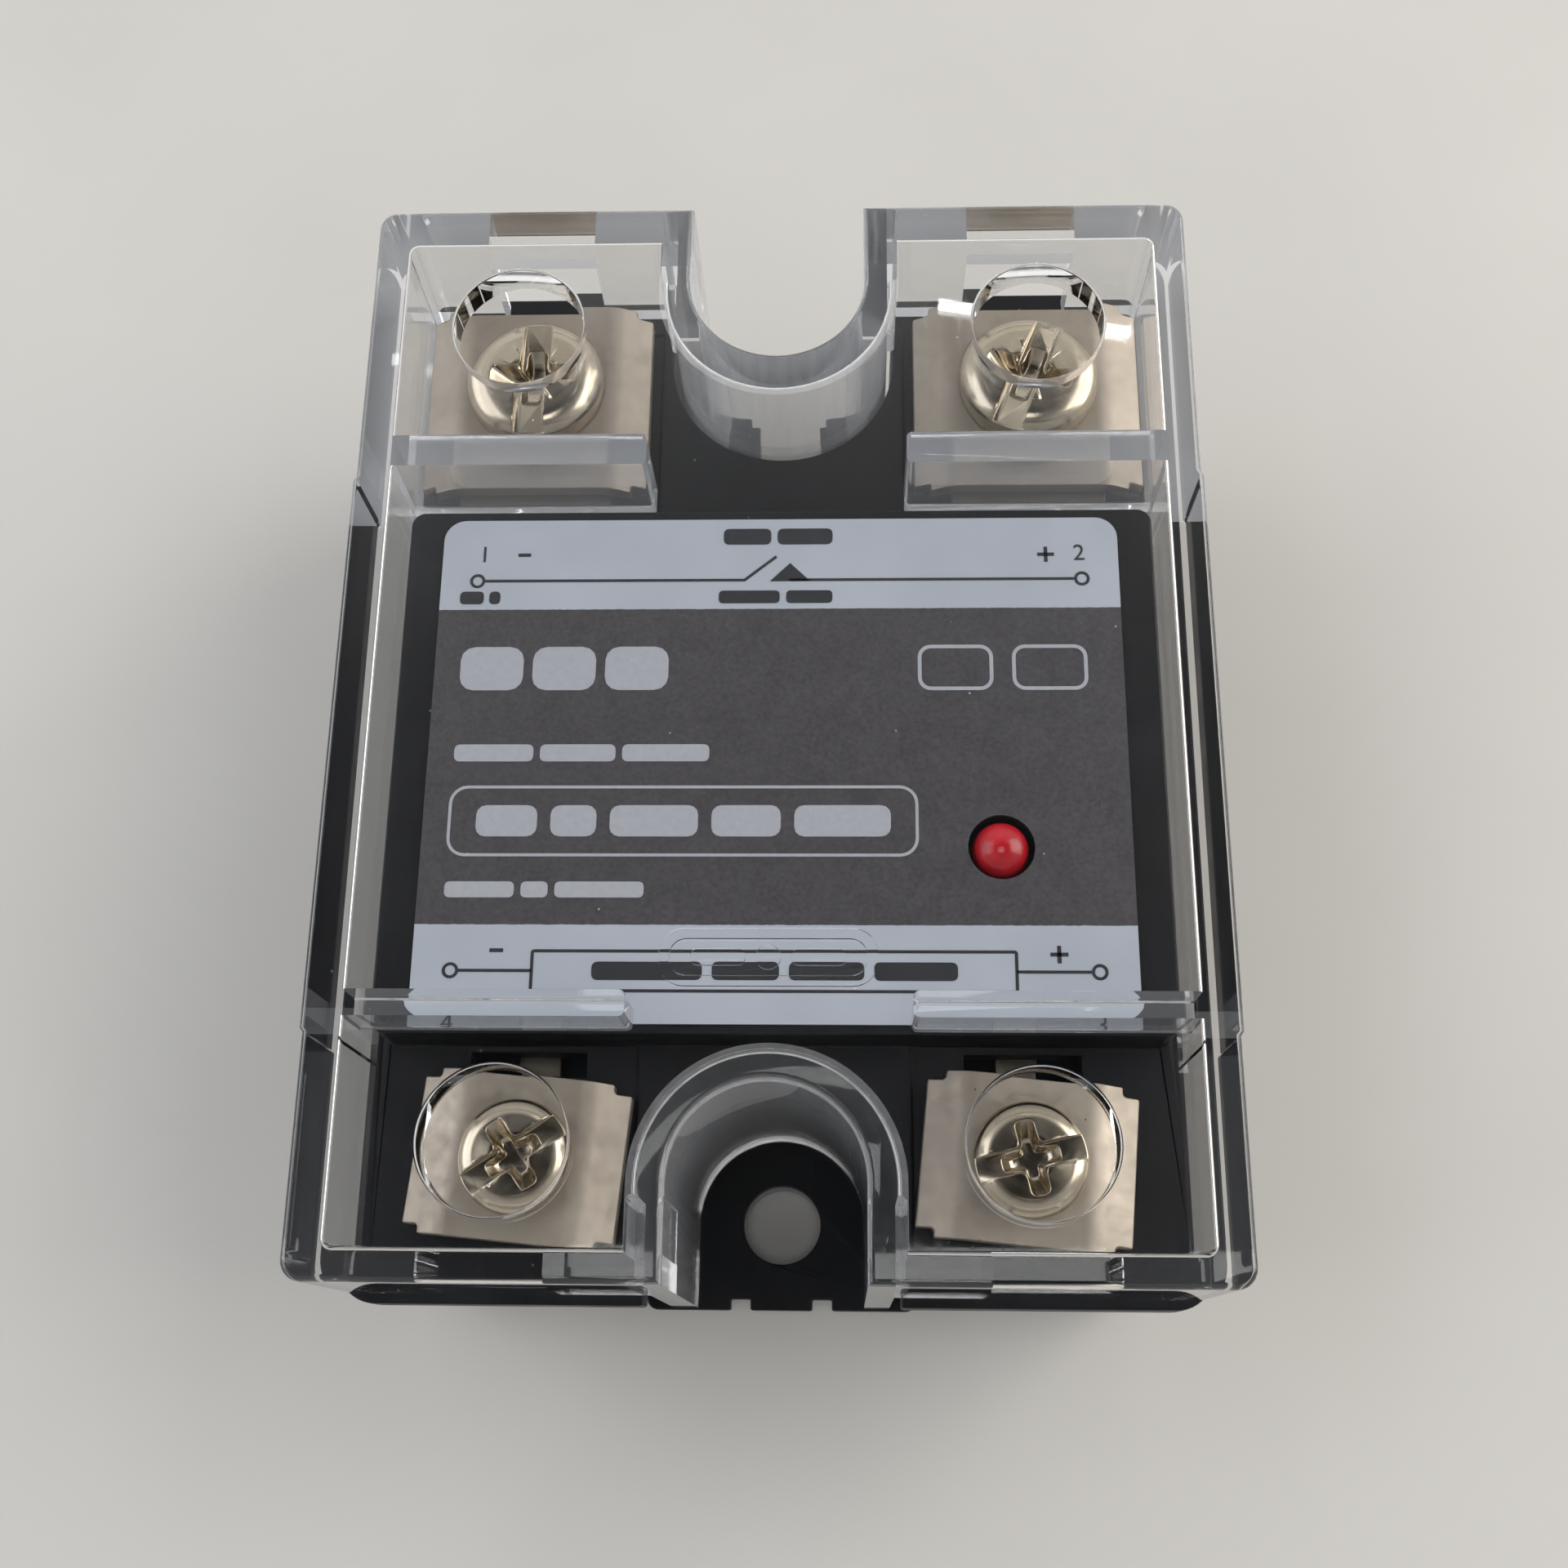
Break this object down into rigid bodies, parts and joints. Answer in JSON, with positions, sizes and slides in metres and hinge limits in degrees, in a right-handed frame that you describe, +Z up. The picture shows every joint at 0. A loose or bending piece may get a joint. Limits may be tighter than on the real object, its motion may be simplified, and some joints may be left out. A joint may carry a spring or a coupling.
{
  "type": "solid state relay",
  "caption": "Panel-mount solid state relay with screw-clamp input and output terminals, a status lamp and a clear lift-off safety cover.",
  "frame": {"origin": "under the middle of the base plate, on the mounting surface", "axes": "+Z up out of the mounting surface, +Y towards the two output terminals, +X to the right of the label"},
  "size_m": [0.0444, 0.0582, 0.0256],
  "materials": {
    "aluminium_plate": "satin rolled plate",
    "housing_plastic": "moulded glass-filled polyester",
    "silicone_gel": "soft potting gel",
    "alumina": "fired alumina",
    "copper": "bare copper",
    "silicon": "polished die",
    "circuit_board": "solder mask",
    "white_plastic": "moulded epoxy",
    "black_epoxy": "moulded epoxy",
    "resistor_lacquer": "lacquer",
    "capacitor_sleeve": "shrink sleeve",
    "diode_glass": "glass body",
    "gold_pins": "plated pins",
    "red_lens": "tinted diffused lens",
    "tinned_wire": "tinned",
    "label_film": "printed polyester film",
    "nickel_strip": "nickel-plated, tumbled",
    "nickel_fastener": "nickel-plated",
    "clear_cover": "clear moulded polycarbonate"
  },
  "bodies": {
    "housing": {"base_plate": "aluminium_plate", "housing": "housing_plastic", "potting_gel": "silicone_gel", "ceramic_substrate": "alumina", "copper_pads": "copper", "power_chips": "silicon", "chip_clips": "copper", "control_board": "circuit_board", "optocoupler": "white_plastic", "driver_chip": "black_epoxy", "resistors": "resistor_lacquer", "capacitor": "capacitor_sleeve", "diodes": "diode_glass", "surge_suppressor": "black_epoxy", "board_pins": "gold_pins", "led_lens": "red_lens", "led_leads": "tinned_wire", "label": "label_film", "output_terminal_left": "nickel_strip", "output_terminal_right": "nickel_strip", "input_terminal_left": "nickel_strip", "input_terminal_right": "nickel_strip", "output_nut_left": "nickel_fastener", "output_nut_right": "nickel_fastener", "input_nut_left": "nickel_fastener", "input_nut_right": "nickel_fastener"},
    "cover": {"cover": "clear_cover"},
    "output_clamp_left": {"output_clamp_left": "nickel_strip"},
    "output_screw_left": {"output_screw_left": "nickel_fastener"},
    "output_clamp_right": {"output_clamp_right": "nickel_strip"},
    "output_screw_right": {"output_screw_right": "nickel_fastener"},
    "input_clamp_left": {"input_clamp_left": "nickel_strip"},
    "input_screw_left": {"input_screw_left": "nickel_fastener"},
    "input_clamp_right": {"input_clamp_right": "nickel_strip"},
    "input_screw_right": {"input_screw_right": "nickel_fastener"}
  },
  "joints": [
    {"name": "cover_lift", "type": "slide", "parent": "housing", "child": "cover", "axis": [0, 0, 1], "range_m": [0, 0.03]},
    {"name": "output_clamp_left_slide", "type": "slide", "parent": "housing", "child": "output_clamp_left", "axis": [0, 0, 1], "range_m": [0, 0.00198]},
    {"name": "output_screw_left_turn", "type": "hinge", "parent": "output_clamp_left", "child": "output_screw_left", "pos_m": [-0.01395, 0.0212, 0.0185], "axis": [0, 0, 1], "range_deg": [0, 1020]},
    {"name": "output_clamp_right_slide", "type": "slide", "parent": "housing", "child": "output_clamp_right", "axis": [0, 0, 1], "range_m": [0, 0.00198]},
    {"name": "output_screw_right_turn", "type": "hinge", "parent": "output_clamp_right", "child": "output_screw_right", "pos_m": [0.01395, 0.0212, 0.0185], "axis": [0, 0, 1], "range_deg": [0, 1020]},
    {"name": "input_clamp_left_slide", "type": "slide", "parent": "housing", "child": "input_clamp_left", "axis": [0, 0, 1], "range_m": [0, 0.00198]},
    {"name": "input_screw_left_turn", "type": "hinge", "parent": "input_clamp_left", "child": "input_screw_left", "pos_m": [-0.0127, -0.0222, 0.0185], "axis": [0, 0, 1], "range_deg": [0, 1436]},
    {"name": "input_clamp_right_slide", "type": "slide", "parent": "housing", "child": "input_clamp_right", "axis": [0, 0, 1], "range_m": [0, 0.00198]},
    {"name": "input_screw_right_turn", "type": "hinge", "parent": "input_clamp_right", "child": "input_screw_right", "pos_m": [0.0127, -0.0222, 0.0185], "axis": [0, 0, 1], "range_deg": [0, 1436]}
  ],
  "couplings": [
    {"joint": "output_screw_left_turn", "follows": "output_clamp_left_slide", "rad_per_m": 8976},
    {"joint": "output_screw_right_turn", "follows": "output_clamp_right_slide", "rad_per_m": 8976},
    {"joint": "input_screw_left_turn", "follows": "input_clamp_left_slide", "rad_per_m": 12566},
    {"joint": "input_screw_right_turn", "follows": "input_clamp_right_slide", "rad_per_m": 12566}
  ]
}
